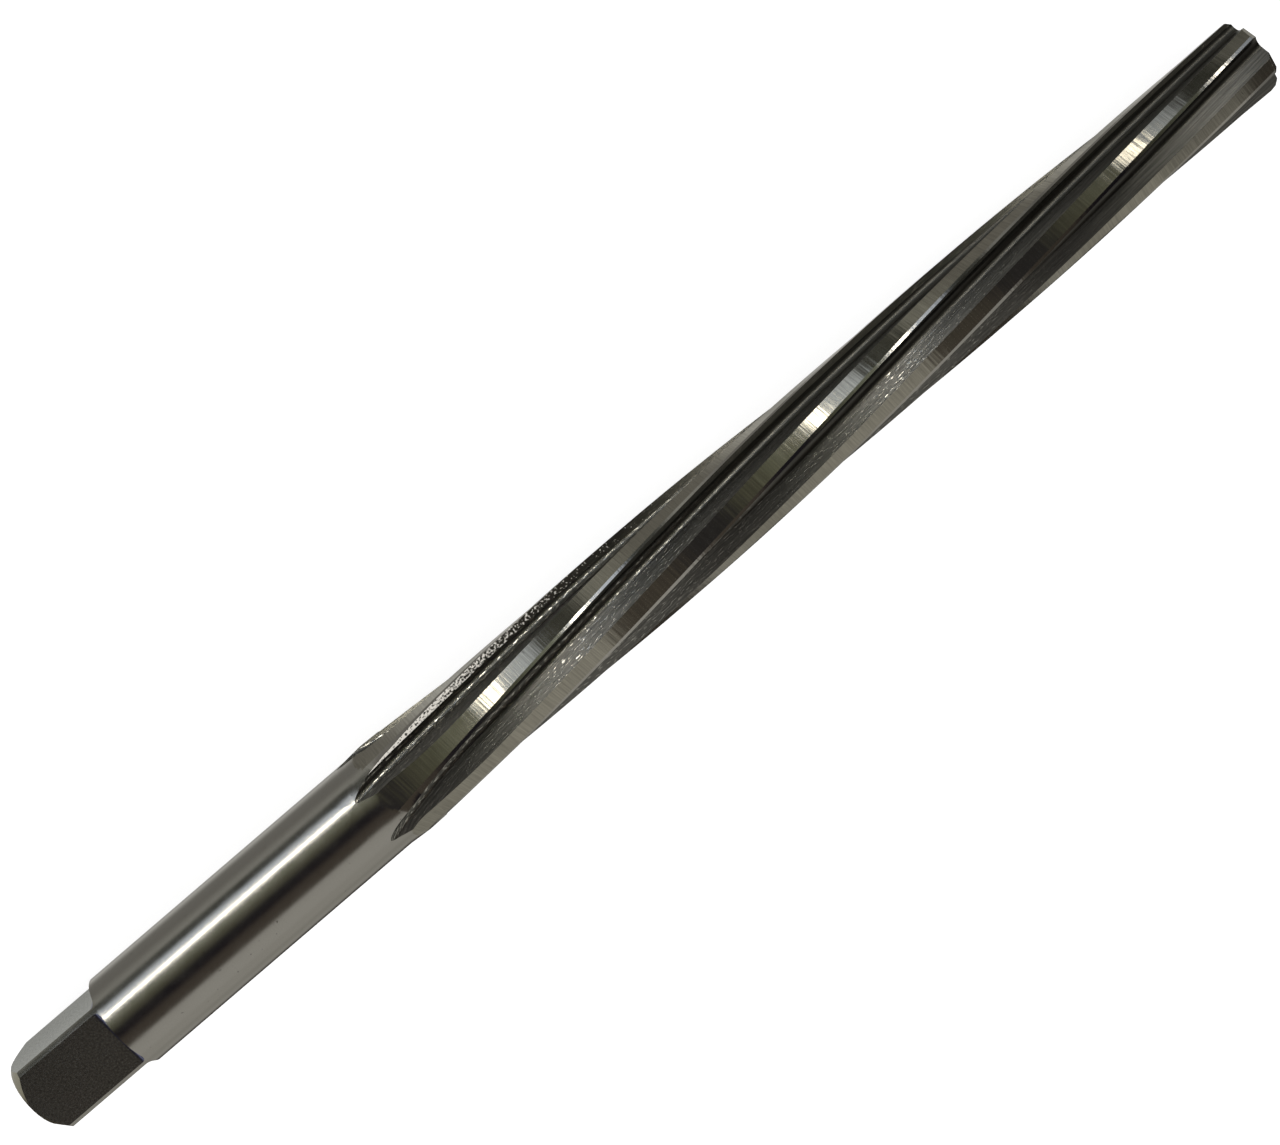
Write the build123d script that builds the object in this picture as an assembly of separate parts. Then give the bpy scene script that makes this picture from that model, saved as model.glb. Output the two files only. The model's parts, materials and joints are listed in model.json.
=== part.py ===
"""Spiral-fluted taper pin reamer: square tang, round shank and a six-tooth taper of 1 in 48.

The tool's axis is X, from the tang's end at x = 0 to the small end, and +Z is up when it lies on a bench.
Angles about the axis are counted from +Z by the right-hand rule about +X. All lengths are millimetres.
"""

from build123d import *
from math import cos, radians, sin, sqrt, tan
import os

INCH = 25.4

# Lengths along the axis
overall_length = 5.4375 * INCH
square_length = 0.375 * INCH
fluted_length = 97.4
ramp_length = 1.9
tang_chamfer = 1.27

# Shank and driving square
shank_diameter = 23 / 64 * INCH
square_across_flats = 0.270 * INCH
square_shoulder_radius = 0.5
square_roll = 15.0

# Working taper: 1/4 inch on the diameter for each foot
small_end_diameter = 7.2
taper_ratio = 48
tooth_count = 6
helix_lead = 220.0
first_edge_roll = -15.7

# Bevel lead at the small end, ground on each tooth with relief behind its corner
bevel_width = 0.45
bevel_angle = 45.0
bevel_relief_angle = 11.0

# Each tooth's land, ground in two facets behind the cutting edge
margin_width = 0.28
margin_relief_angle = 5.0
land_relief_angle = 21.5
land_arc = 22.5
blank_stock = 0.085
land_wheel_radius = 7.0
land_wheel_start = 1.1
land_overrun = 1.2

# Each flute, milled with a double-angle cutter that lifts out towards the shank
flute_root_ratio = 0.64
flute_floor_radius = 0.75
flute_cutter_radius = 50.0
flute_runout_start = 9.3
flute_lift_angle = 32.0
overcut = 2.5

# Centre holes, 60 degrees
centre_angle = 60.0
tang_centre_diameter = 3.35
tang_pilot_diameter = 1.6
tip_centre_diameter = 2.65
tip_pilot_diameter = 1.25
pilot_depth_ratio = 1.2

# Outlines that each cutter's solid is lofted through, where it sinks in and where it runs on
sinking_steps = 4
running_steps = 7

# Sizes worked out from those above
shank_radius = shank_diameter / 2
pitch_angle = 360 / tooth_count
ramp_end = overall_length - fluted_length
ramp_start = ramp_end - ramp_length
flute_full_depth_x = ramp_end + flute_runout_start
land_full_depth_x = ramp_end + land_wheel_start


def edge_radius(x):
    """Radius of the cutting edges at x, from the taper."""
    return small_end_diameter / 2 + (overall_length - x) / (2 * taper_ratio)


def blank_radius(x):
    """Radius of the turned cone that the lands are ground from."""
    return edge_radius(x) + blank_stock


def section_plane(x, roll):
    """Plane across the axis at x, whose own x axis runs out through the cutting edge of a tooth."""
    angle = radians(roll + 360 * (overall_length - x) / helix_lead)
    return Plane((x, 0, 0), x_dir=(0, -sin(angle), cos(angle)), z_dir=(1, 0, 0))


def arc_lift(x, full_depth_x, wheel_radius):
    """How far a wheel of this radius has risen out of its cut at x."""
    run = max(full_depth_x - x, 0)
    return wheel_radius - sqrt(wheel_radius**2 - run**2)


def land_points(radius):
    """Edge, end of the margin and heel of one land, as (radial, tangential) from the tool's axis."""
    margin = radians(margin_relief_angle)
    relief = radians(land_relief_angle)
    heel_angle = radians(-land_arc)
    corner = Vector(radius, 0) - Vector(sin(margin), cos(margin)) * margin_width
    slope = Vector(-sin(relief), -cos(relief))
    out = Vector(cos(heel_angle), sin(heel_angle))
    reach = corner.cross(out).Z / -slope.cross(out).Z
    return Vector(radius, 0), corner, corner + slope * reach


def flute_section(x, roll):
    """Closed outline of the milling cutter between one tooth's rake face and the next tooth's back."""
    radius = edge_radius(x)
    rise = arc_lift(x, flute_full_depth_x, flute_cutter_radius)
    lift = Vector(rise, 0).rotate(Axis.Z, flute_lift_angle)
    root = Vector(flute_root_ratio * radius, 0) + lift
    heel = land_points(radius)[2].rotate(Axis.Z, pitch_angle) + lift
    back = (heel - root).normalized()
    half_angle = radians(back.get_angle(Vector(1, 0))) / 2
    foot = flute_floor_radius / tan(half_angle)
    rake_foot = root + Vector(foot, 0)
    back_foot = root + back * foot
    floor_centre = rake_foot + Vector(0, flute_floor_radius)
    floor_middle = floor_centre + (root - floor_centre).normalized() * flute_floor_radius
    rake_top = rake_foot + Vector(radius, 0)
    back_top = heel + back * radius
    outline = [
        Line(rake_top, rake_foot),
        RadiusArc(rake_foot, floor_middle, flute_floor_radius),
        RadiusArc(floor_middle, back_foot, flute_floor_radius),
        Line(back_foot, back_top),
        Line(back_top, rake_top),
    ]
    return section_plane(x, roll) * make_face(outline)


def land_section(x, roll):
    """Closed outline of the grinding wheel's path over one land: margin, relief and the air outside."""
    edge, corner, heel = land_points(edge_radius(x))
    lift = Vector(arc_lift(x, land_full_depth_x, land_wheel_radius), 0)
    before = edge + (edge - corner).normalized() * margin_width
    beyond = heel + (heel - corner).normalized() * land_overrun
    above = Vector(overcut, 0)
    outline = Polyline(before, corner, beyond, beyond + above, before + above, close=True)
    return section_plane(x, roll) * Pos(lift) * make_face(outline)


def helical_cutter(section, roll, full_depth_x, wheel_radius, depth):
    """Solid swept by a wheel that sinks to full depth along an arc and then runs on past the small end."""
    runout = sqrt(wheel_radius**2 - (wheel_radius - depth) ** 2)
    sinking = [full_depth_x - runout * (1 - n / sinking_steps) for n in range(sinking_steps + 1)]
    stroke = overall_length + overcut - full_depth_x
    running = [full_depth_x + stroke * (n / running_steps) ** 1.5 for n in range(running_steps + 1)]
    return [loft([section(x, roll) for x in places]) for places in (sinking, running)]


def centre_hole(mouth_diameter, pilot_diameter):
    """A 60-degree centre hole opening at the origin towards -X."""
    slope = tan(radians(centre_angle / 2))
    mouth, pilot = mouth_diameter / 2, pilot_diameter / 2
    cone_depth = (mouth - pilot) / slope
    bottom = cone_depth + pilot_depth_ratio * pilot_diameter
    outline = Polyline(
        (-mouth, 0), (-mouth, mouth + mouth * slope), (cone_depth, pilot), (bottom, pilot),
        (bottom + pilot * slope, 0), close=True,
    )
    return revolve(make_face(outline), Axis.X)


def turned_blank():
    """Bar turned to the shank, a short ramp and the taper, chamfered at both ends and centre drilled."""
    outline = Polyline(
        (0, 0),
        (0, shank_radius - tang_chamfer),
        (tang_chamfer, shank_radius),
        (ramp_start, shank_radius),
        (ramp_end, blank_radius(ramp_end)),
        (overall_length, blank_radius(overall_length)),
        (overall_length, 0),
        close=True,
    )
    blank = revolve(make_face(outline), Axis.X)
    tang_hole = centre_hole(tang_centre_diameter, tang_pilot_diameter)
    tip_hole = Rot(0, 0, 180) * centre_hole(tip_centre_diameter, tip_pilot_diameter)
    return blank - tang_hole - Pos(overall_length, 0, 0) * tip_hole


def square_flat():
    """Metal milled away above one flat of the driving square, with the cutter's corner at the shoulder."""
    low = square_across_flats / 2
    high = 1.5 * shank_radius
    wall = square_length + square_shoulder_radius
    outline = [
        Line((-overcut, low), (square_length, low)),
        RadiusArc((square_length, low), (wall, low + square_shoulder_radius), -square_shoulder_radius),
        Line((wall, low + square_shoulder_radius), (wall, high)),
        Line((wall, high), (-overcut, high)),
        Line((-overcut, high), (-overcut, low)),
    ]
    return extrude(Plane.XZ * make_face(outline), shank_diameter, both=True)


def bevel_cut(roll):
    """Metal ground off the small end of one tooth, falling away behind the corner that starts the cut."""
    angle = radians(bevel_angle)
    relief = radians(bevel_relief_angle)
    along = (-sin(angle), 0, cos(angle))
    outward = (cos(angle) * cos(relief), -sin(relief), sin(angle) * cos(relief))
    corner = (edge_radius(overall_length), 0, -bevel_width)
    face = Plane(corner, x_dir=along, z_dir=outward)
    side = small_end_diameter
    block = Pos(0, 0, side / 2) * Box(side, side, side)
    return section_plane(overall_length, roll).location * face.location * block


def reamer():
    """The whole tool, one piece of ground high-speed steel."""
    tool = turned_blank()
    flat = square_flat()
    tool -= [Rot(square_roll + 90 * n, 0, 0) * flat for n in range(4)]
    outer_radius = max(shank_radius, blank_radius(ramp_end))
    large_end = edge_radius(ramp_end)
    flute_depth = (outer_radius - flute_root_ratio * large_end) / cos(radians(flute_lift_angle))
    land_depth = (outer_radius - land_points(large_end)[2].length) / cos(radians(land_arc))
    for n in range(tooth_count):
        roll = first_edge_roll + n * pitch_angle
        tool -= helical_cutter(flute_section, roll, flute_full_depth_x, flute_cutter_radius, flute_depth)
        tool -= helical_cutter(land_section, roll, land_full_depth_x, land_wheel_radius, land_depth)
        tool -= bevel_cut(roll)
    return tool


os.makedirs("parts", exist_ok=True)
taper_pin_reamer = reamer()
print("solids", len(taper_pin_reamer.solids()), "volume", round(taper_pin_reamer.volume, 2))
export_step(taper_pin_reamer, "parts/taper_pin_reamer.step")
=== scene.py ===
"""A spiral-fluted taper pin reamer on a pale bench: ground, milled and turned steel, all of one piece.

Lengths in the classes are millimetres in the part's own frame: the tool's axis is X from the tang's end to
the small end, and +Z is up. An angle about the axis is counted from +Z towards -Y. A cross-section is worked
in complex numbers, the real part outwards through a tooth's cutting edge and the imaginary part the way the
angle grows, so that a turn about the axis is a product.
"""

import json
import logging
import math
from dataclasses import dataclass, field, replace
from enum import Enum

import bmesh
import bpy
import numpy as np
from mathutils import Matrix, Vector


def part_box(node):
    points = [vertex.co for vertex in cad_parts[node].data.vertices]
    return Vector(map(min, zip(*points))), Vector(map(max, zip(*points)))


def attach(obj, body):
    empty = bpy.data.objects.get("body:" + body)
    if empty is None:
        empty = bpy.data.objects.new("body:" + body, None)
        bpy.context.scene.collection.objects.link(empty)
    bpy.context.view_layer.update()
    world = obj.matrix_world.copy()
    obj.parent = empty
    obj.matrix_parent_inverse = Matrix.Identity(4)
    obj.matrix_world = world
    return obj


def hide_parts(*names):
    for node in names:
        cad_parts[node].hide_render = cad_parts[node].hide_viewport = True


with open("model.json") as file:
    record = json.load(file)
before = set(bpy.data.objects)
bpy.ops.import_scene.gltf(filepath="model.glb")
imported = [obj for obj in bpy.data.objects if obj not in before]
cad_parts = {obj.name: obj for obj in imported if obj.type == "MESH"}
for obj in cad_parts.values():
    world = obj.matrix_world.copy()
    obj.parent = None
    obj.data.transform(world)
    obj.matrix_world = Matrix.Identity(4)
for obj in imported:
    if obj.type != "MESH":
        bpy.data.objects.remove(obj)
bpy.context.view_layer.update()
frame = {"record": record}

NODE = "taper_pin_reamer"
MM = 0.001
WHITE = (1.0, 1.0, 1.0, 1.0)
LOG = logging.getLogger("reamer")

Tree = bpy.types.NodeTree
Socket = bpy.types.NodeSocket

# Lengths in millimetres that count as none: between two sizes, and between nodes that are joined
HAIR = 1e-6
WELD = 0.002

# Heights that nearly all of a noise lies between
NOISE_LOW, NOISE_HIGH = 0.3, 0.7
# Changes per millimetre of the slow drift in roughness
DRIFT_SCALE = 0.45
# How marks lean: spacing in spacings of the marks, where the noise starts, and heights that it lies between
LEAN_SPACING, LEAN_START, LEAN_LOW, LEAN_HIGH = 1.3, (7.3, 1.7, 0.0), 0.25, 0.75
# Least share of a lay for a nick, so that it isn't drawn out into a line
NICK_LAY = 0.2


def linear_rgb(hex_colour: str) -> tuple[float, float, float]:
    """Turns an sRGB hex colour into linear light.

    Args:
        hex_colour: Six hex digits after a hash sign.

    Returns:
        Red, green and blue from 0 to 1, by the sRGB curve.
    """
    parts = [int(hex_colour[n : n + 2], 16) / 255 for n in (1, 3, 5)]
    return tuple(v / 12.92 if v <= 0.04045 else ((v + 0.055) / 1.055) ** 2.4 for v in parts)


def add_node(
    tree: Tree, kind: str, sockets: dict | None = None, out: int | str = 0, **settings: object
) -> Socket | None:
    """Adds one shader node with its settings, its values and its links.

    Args:
        tree: Node tree that takes the node.
        kind: Name of the node type, without the ShaderNode that it begins with.
        sockets: Value or feeding socket for each input, by name or number.
        out: Output that is asked for, by name or number.
        **settings: Properties of the node itself.

    Returns:
        That output, or None from a node that has none.
    """
    node = tree.nodes.new("ShaderNode" + kind)
    for name, value in settings.items():
        setattr(node, name, value)
    for key, value in (sockets or {}).items():
        if isinstance(value, Socket):
            tree.links.new(value, node.inputs[key])
        else:
            node.inputs[key].default_value = value
    return node.outputs[out] if len(node.outputs) else None


def empty_tree(owner: bpy.types.Material | bpy.types.World) -> Tree:
    """Takes out the nodes that a new material or world starts with.

    Args:
        owner: The material or world.

    Returns:
        Its empty node tree.
    """
    owner.use_nodes = True
    owner.node_tree.nodes.clear()
    return owner.node_tree


def add_object(name: str, data: bpy.types.ID) -> bpy.types.Object:
    """Puts a mesh, lamp or camera into the scene as an object at the origin.

    Args:
        name: Name of the object.
        data: What it shows.

    Returns:
        The new object.
    """
    thing = bpy.data.objects.new(name, data)
    bpy.context.scene.collection.objects.link(thing)
    return thing


def ease(share: np.ndarray) -> np.ndarray:
    """Smooth start and stop between 0 and 1: the share's square times three less twice the share."""
    return share**2 * (3 - 2 * share)


def blend(start: np.ndarray, stop: np.ndarray, parts: int) -> np.ndarray:
    """Even steps from start to stop along a new last axis: start + (stop - start) n / parts, ends included.

    Args:
        start: Values at the first step, shape (n, 1) or a number.
        stop: Values at the last step, of the same kind.
        parts: Number of steps.

    Returns:
        An array of shape (n, parts + 1).
    """
    return start + (stop - start) * np.linspace(0.0, 1.0, parts + 1)


def arc_lift(x: np.ndarray, full_depth_x: float, wheel_radius: float) -> np.ndarray:
    """How far a wheel has risen out of its cut at x: the height of a circle's arc over its lowest point.

    Args:
        x: Places along the axis.
        full_depth_x: Where the wheel's lowest point stops.
        wheel_radius: Radius of the wheel.

    Returns:
        The rise, nothing past full_depth_x and the wheel's radius where it has left the work.
    """
    run = np.maximum(full_depth_x - x, 0.0)
    return wheel_radius - np.sqrt(np.maximum(wheel_radius**2 - run**2, 0.0))


class Zone(Enum):
    """Surfaces of the tool that were finished in one way."""

    SHANK = 0
    FLAT = 1
    SHOULDER = 2
    CHAMFER = 3
    FACE = 4
    CENTRE = 5
    LAND = 6
    MARGIN = 7
    RAKE = 8
    FLOOR = 9
    BACK = 10
    # Torn rake, its glints painted in as near-white crests
    TORN = 11


@dataclass
class Skin:
    """A stretch of the tool's surface on a grid of rings.

    Attributes:
        points: Grid points, shape (rings, nodes, 3), the last node of a ring on its first.
        zones: Zone number of each face, shape (rings - 1, nodes - 1).
        grain: Distances along and across the cutting marks, shape (rings - 1, nodes - 1, 4, 2).
    """

    points: np.ndarray
    zones: np.ndarray
    grain: np.ndarray


def corners(nodes: np.ndarray) -> np.ndarray:
    """Values of a grid's nodes at each face's four corners, in the order that turns the face outwards."""
    return np.stack([nodes[:-1, :-1], nodes[:-1, 1:], nodes[1:, 1:], nodes[1:, :-1]], 2)


def grid_faces(rows: int, nodes: int) -> np.ndarray:
    """Vertex numbers of a grid's faces, counted row by row, shape (faces, 4)."""
    return corners(np.arange(rows * nodes).reshape(rows, nodes)).reshape(-1, 4)


def ring_points(x: np.ndarray, section: np.ndarray) -> np.ndarray:
    """Points of the part's frame: a section's real part is up and its imaginary part is towards -Y.

    Args:
        x: Place of each ring along the axis, shape (rings, 1) or (rings, nodes).
        section: Complex points of the rings, shape (rings, nodes).

    Returns:
        An array of shape (rings, nodes, 3).
    """
    return np.stack([np.broadcast_to(x, section.shape), -section.imag, section.real], -1)


def turned_skin(x: np.ndarray, radius: np.ndarray, angles: np.ndarray, zones: list[Zone]) -> Skin:
    """A turned surface: ring n lies at x[n] with radius[n], and its nodes at the angles given.

    Args:
        x: Place of each ring along the axis.
        radius: Radius of each ring.
        angles: Angles of the nodes, one row for all rings or a row for each.
        zones: Zone of each band between two rings.

    Returns:
        The skin, with marks that run round the axis: the first distance is along the turned outline.
    """
    angles = np.broadcast_to(angles, (len(x), np.shape(angles)[-1]))
    section = radius[:, None] * np.exp(1j * angles)
    along = np.concatenate([[0.0], np.cumsum(np.hypot(np.diff(x), np.diff(radius)))])
    grain = np.stack([np.broadcast_to(along[:, None], section.shape), radius[:, None] * angles], -1)
    numbers = np.repeat([[z.value] for z in zones], section.shape[1] - 1, axis=1)
    return Skin(ring_points(x[:, None], section), numbers, corners(grain))


@dataclass(frozen=True)
class CentreHole:
    """A 60-degree centre hole with a pilot, as a grinder's centre needs it.

    Attributes:
        mouth_diameter: Diameter where the cone meets the end face.
        pilot_diameter: Diameter of the small drilled hole.
        cone_angle: Full angle of the cone, in degrees.
        pilot_ratio: Depth of the pilot in its own diameters.
    """

    mouth_diameter: float
    pilot_diameter: float
    cone_angle: float = 60.0
    pilot_ratio: float = 1.2

    def outline(self) -> tuple[np.ndarray, np.ndarray]:
        """Outline of the hole from its drilled point out to the mouth.

        Returns:
            Depth and radius of each ring.
        """
        slope = math.tan(math.radians(self.cone_angle / 2))
        mouth, pilot = self.mouth_diameter / 2, self.pilot_diameter / 2
        cone = (mouth - pilot) / slope
        bottom = cone + self.pilot_ratio * self.pilot_diameter
        return np.array([bottom + pilot * slope, bottom, cone, 0.0]), np.array([0.0, pilot, pilot, mouth])


@dataclass(frozen=True)
class SquareTang:
    """Square milled on the tang, with the cutter's corner at its shoulder and a turned chamfer at its end.

    Attributes:
        shank_radius: Radius of the ground bar that the square is milled on.
        half_width: Distance from the axis to a flat.
        roll: Angle of the first flat's middle, in radians.
        flat_length: Length of the flats before the cutter's corner.
        shoulder_radius: Radius of that corner.
        chamfer: Length and depth of the chamfer at the end.
        flat_parts: Grid faces over each flat.
        edge_parts: Grid faces over each round edge that is left between two flats.
        length_rings: Rings over the chamfered end of the flats, and over the rest of them.
        corner_rings: Rings over the cutter's corner.
    """

    shank_radius: float
    half_width: float
    roll: float
    flat_length: float = 9.525
    shoulder_radius: float = 0.5
    chamfer: float = 1.27
    flat_parts: int = 34
    edge_parts: int = 8
    length_rings: int = 16
    corner_rings: int = 9

    @property
    def wall_x(self) -> float:
        """Where the shoulder's wall stands."""
        return self.flat_length + self.shoulder_radius

    def node_angles(self, half_angle: np.ndarray, first: int, count: int) -> np.ndarray:
        """Angles of ring nodes that keep to the flats' edges.

        Over the flat, node n of a side lies at -h + 2 h n / flat_parts, where h is the flat's half angle. The
        other nodes are even over what is left of the quarter turn.

        Args:
            half_angle: Half of the angle that a flat takes up, one for each ring, shape (rings, 1).
            first: Number of the first node, counted from a flat's edge.
            count: Number of nodes.

        Returns:
            Angles that grow from node to node, shape (rings, count).
        """
        side, place = np.divmod(np.arange(first, first + count), self.flat_parts + self.edge_parts)
        on_flat = -half_angle + 2 * half_angle * place / self.flat_parts
        rest = math.pi / 2 - 2 * half_angle
        on_edge = half_angle + rest * (place - self.flat_parts) / self.edge_parts
        return self.roll + side * math.pi / 2 + np.where(place <= self.flat_parts, on_flat, on_edge)

    def skin(self, first: int, count: int) -> tuple[Skin, np.ndarray]:
        """The square up to the shoulder's wall: each point lies on the bar or the flat, the nearer of both.

        The cutter's corner is an arc that rises with x, so it is a wheel's arc taken backwards.

        Args:
            first: Number of the first node, counted from a flat's edge.
            count: Number of nodes in a ring.

        Returns:
            The skin, and the angles of its first and last ring, shape (2, count).
        """
        low, radius = self.half_width, self.shank_radius
        flat_start = low - (radius - self.chamfer)
        run = np.linspace(0.0, 1.0, self.length_rings)
        swing = np.linspace(0.0, math.pi / 2, self.corner_rings)[1:]
        x = np.concatenate([
            [0.0],
            flat_start + (self.chamfer - flat_start) * run**2,
            self.chamfer + (self.flat_length - self.chamfer) * run[1:],
            self.flat_length + self.shoulder_radius * np.sin(swing),
        ])[:, None]
        height = low + arc_lift(-x, -self.flat_length, self.shoulder_radius)
        turned = np.minimum(radius, radius - self.chamfer + x)
        half_angle = np.arccos(np.minimum(height / turned, 1.0))
        angles = self.node_angles(half_angle, first, count)
        from_flat = (angles - self.roll + math.pi / 4) % (math.pi / 2) - math.pi / 4
        place = np.arange(first, first + count) % (self.flat_parts + self.edge_parts)
        on_flat = (place <= self.flat_parts) & (half_angle > 0)
        section = np.where(on_flat, height / np.cos(from_flat), turned) * np.exp(1j * angles)
        wall = radius * np.exp(1j * angles[-1:])
        section = np.concatenate([section, wall])
        stations = np.concatenate([x, x[-1:]])

        flat_face = (place[:-1] < self.flat_parts) & (half_angle[1:] > 0)
        round_face = np.where(x[1:] <= self.chamfer + HAIR, Zone.CHAMFER.value, Zone.SHANK.value)
        milled = np.where(x[1:] <= self.flat_length + HAIR, Zone.FLAT.value, Zone.SHOULDER.value)
        zones = np.where(flat_face, milled, round_face)
        zones = np.concatenate([zones, np.full_like(zones[-1:], Zone.SHOULDER.value)])
        step = np.abs(np.diff(section, axis=1))
        across = np.concatenate([np.zeros_like(stations), np.cumsum(step, 1)], 1)
        grain = np.stack([stations + np.abs(section) * (stations >= x[-1]), across], -1)
        return Skin(ring_points(stations, section), zones, corners(grain)), angles[[0, -1]]


@dataclass(frozen=True)
class HelicalTeeth:
    """Six relieved teeth on the taper, with the run-outs of the wheels that cut them.

    Attributes:
        overall_length: Length of the tool.
        shank_radius: Radius of the shank that the flutes run out into.
        fluted_length: Length of the taper.
        ramp_length: Length of the cone between the shank and the taper's larger end.
        small_end_diameter: Diameter over the cutting edges at the tip.
        taper_ratio: Length over which the diameter grows by one.
        count: Number of teeth.
        lead: Length in which an edge winds once round the axis.
        edge_roll: Angle of the first edge at the tip, in degrees.
        bevel_width: Length of the bevel on the cutting edge, at the tip.
        bevel_angle: Slope of the bevel in degrees.
        bevel_relief: Fall of the bevel behind its corner in degrees.
        margin_width: Width of the narrow facet behind the edge.
        margin_relief: Fall of the margin in degrees.
        land_relief: Fall of the wide facet behind it in degrees.
        land_arc: Angle from the edge to the heel in degrees.
        blank_stock: How far the unrelieved cone stands proud of the edges.
        land_wheel_radius: Radius of the wheel that grinds the lands.
        land_wheel_start: Distance from the ramp to where the lands reach full depth.
        land_overrun: How far that wheel passes the heel.
        root_ratio: Radius of the flute's corner as a share of the edge's.
        floor_radius: Radius of the flute's floor.
        cutter_radius: Radius of the flute's milling cutter.
        runout_start: Distance from the ramp to where the flutes reach full depth.
        lift_angle: Direction in degrees that the cutter lifts out in.
        parts: Grid faces over each surface of a tooth: land, margin, rake, floor and back.
        spread_length: Length of shank over which the grid's nodes spread out evenly.
        torn_glint_flute: Number of the flute whose rake face the cutter tore, and which takes the crests with
            painted glints.
        least_facing: Least cosine between a ray from the axis and the bevel's normal that counts as meeting.
        search_steps: Places on a flute's outline where its ends are looked for.
        lead_in: Length of shank before the taper that is on the teeth's grid.
        close_length: Length past the flutes' run-out over which rings stay close.
        close_step: Distance between close rings.
        plain_rings: Rings from there to the bevels.
        tip_length: Length at the tip where rings are close again.
        tip_rings: Rings over it.
        left_proud: How near to the blank a point counts as never ground.
        tooth_shift: Distance that the grain moves sideways from tooth to tooth, so that no two look alike.
        inner_corner: Angle behind an edge where the land's share of the end face ends, in radians.
    """

    overall_length: float
    shank_radius: float
    fluted_length: float = 97.4
    ramp_length: float = 1.9
    small_end_diameter: float = 7.2
    taper_ratio: float = 48.0
    count: int = 6
    lead: float = 220.0
    edge_roll: float = -15.7
    bevel_width: float = 0.45
    bevel_angle: float = 45.0
    bevel_relief: float = 11.0
    margin_width: float = 0.28
    margin_relief: float = 5.0
    land_relief: float = 21.5
    land_arc: float = 22.5
    blank_stock: float = 0.085
    land_wheel_radius: float = 7.0
    land_wheel_start: float = 1.1
    land_overrun: float = 1.2
    root_ratio: float = 0.64
    floor_radius: float = 0.75
    cutter_radius: float = 50.0
    runout_start: float = 9.3
    lift_angle: float = 32.0
    parts: tuple[int, int, int, int, int] = (6, 2, 4, 12, 4)
    spread_length: float = 3.0
    torn_glint_flute: int = 3
    least_facing: float = 0.2
    search_steps: int = 901
    lead_in: float = 8.5
    close_length: float = 1.0
    close_step: float = 0.14
    plain_rings: int = 280
    tip_length: float = 1.0
    tip_rings: int = 22
    left_proud: float = 0.002
    tooth_shift: float = 37.0
    inner_corner: float = -0.09

    @property
    def pitch(self) -> float:
        """Angle from one tooth to the next, in radians."""
        return 2 * math.pi / self.count

    @property
    def ramp_end(self) -> float:
        """Where the taper begins."""
        return self.overall_length - self.fluted_length

    @property
    def helix_angle(self) -> float:
        """Slope of the edges against the axis halfway along the taper, in radians."""
        middle = self.edge_radius(self.overall_length - self.fluted_length / 2)
        return math.atan(2 * math.pi * middle / self.lead)

    def edge_radius(self, x: np.ndarray) -> np.ndarray:
        """Radius of the edges at x: the small end's, and the length back from it over twice the ratio."""
        return self.small_end_diameter / 2 + (self.overall_length - x) / (2 * self.taper_ratio)

    def edge_angle(self, x: np.ndarray) -> np.ndarray:
        """Angle of the first cutting edge at x: one turn for each lead back from the tip."""
        return math.radians(self.edge_roll) + 2 * math.pi * (self.overall_length - x) / self.lead

    def blank_radius(self, x: np.ndarray) -> np.ndarray:
        """Radius of the turned blank: shank, a straight ramp, then the taper with its stock.

        Args:
            x: Places along the axis.

        Returns:
            Radii of the same shape.
        """
        top = self.edge_radius(np.maximum(x, self.ramp_end)) + self.blank_stock
        climb = np.clip((x - self.ramp_end) / self.ramp_length + 1, 0.0, 1.0)
        return np.where(x < self.ramp_end, self.shank_radius + (top - self.shank_radius) * climb, top)

    def land_corner(self, edge: np.ndarray) -> np.ndarray:
        """End of the margin behind an edge at this radius: a width back at the margin's relief angle."""
        return edge - self.margin_width * 1j * np.exp(-1j * math.radians(self.margin_relief))

    def relief_radius(self, edge: np.ndarray, angle: np.ndarray) -> np.ndarray:
        """Radius of the relief facet's plane: its distance from the axis over the cosine of its slant.

        Args:
            edge: Radius of the edge.
            angle: Angles from the edge.

        Returns:
            Radii, of the shape that both give.
        """
        fall = math.radians(self.land_relief)
        corner = self.land_corner(edge)
        return (math.cos(fall) * corner.real - math.sin(fall) * corner.imag) / np.cos(angle + fall)

    def heel(self, edge: np.ndarray) -> np.ndarray:
        """Heel of the land behind an edge at this radius, where the relief facet meets the land's arc."""
        back = -math.radians(self.land_arc)
        return self.relief_radius(edge, back) * np.exp(1j * back)

    def land_radius(self, x: np.ndarray, angle: np.ndarray) -> np.ndarray:
        """Radius that the land's wheel leaves at an angle from the edge, and none where it doesn't reach.

        The section is the lower of two planes, margin and relief, both risen by the wheel's lift.

        Args:
            x: Places along the axis, shape (n, 1).
            angle: Angles from the cutting edge, shape (n, m).

        Returns:
            Radii of shape (n, m), infinite outside the wheel's path.
        """
        slant = math.radians(self.margin_relief)
        start = self.edge_radius(x)
        edge = start + arc_lift(x, self.ramp_end + self.land_wheel_start, self.land_wheel_radius)
        margin = edge * math.cos(slant) / np.cos(angle + slant)
        ground = np.minimum(margin, self.relief_radius(edge, angle))
        stride = self.heel(start) - self.land_corner(start)
        beyond = (self.heel(start) + stride / np.abs(stride) * self.land_overrun).imag
        across = ground * np.sin(angle)
        reached = (across < self.margin_width * math.cos(slant)) & (across > beyond) & (ground > 0)
        return np.where(reached, ground, np.inf)

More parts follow.
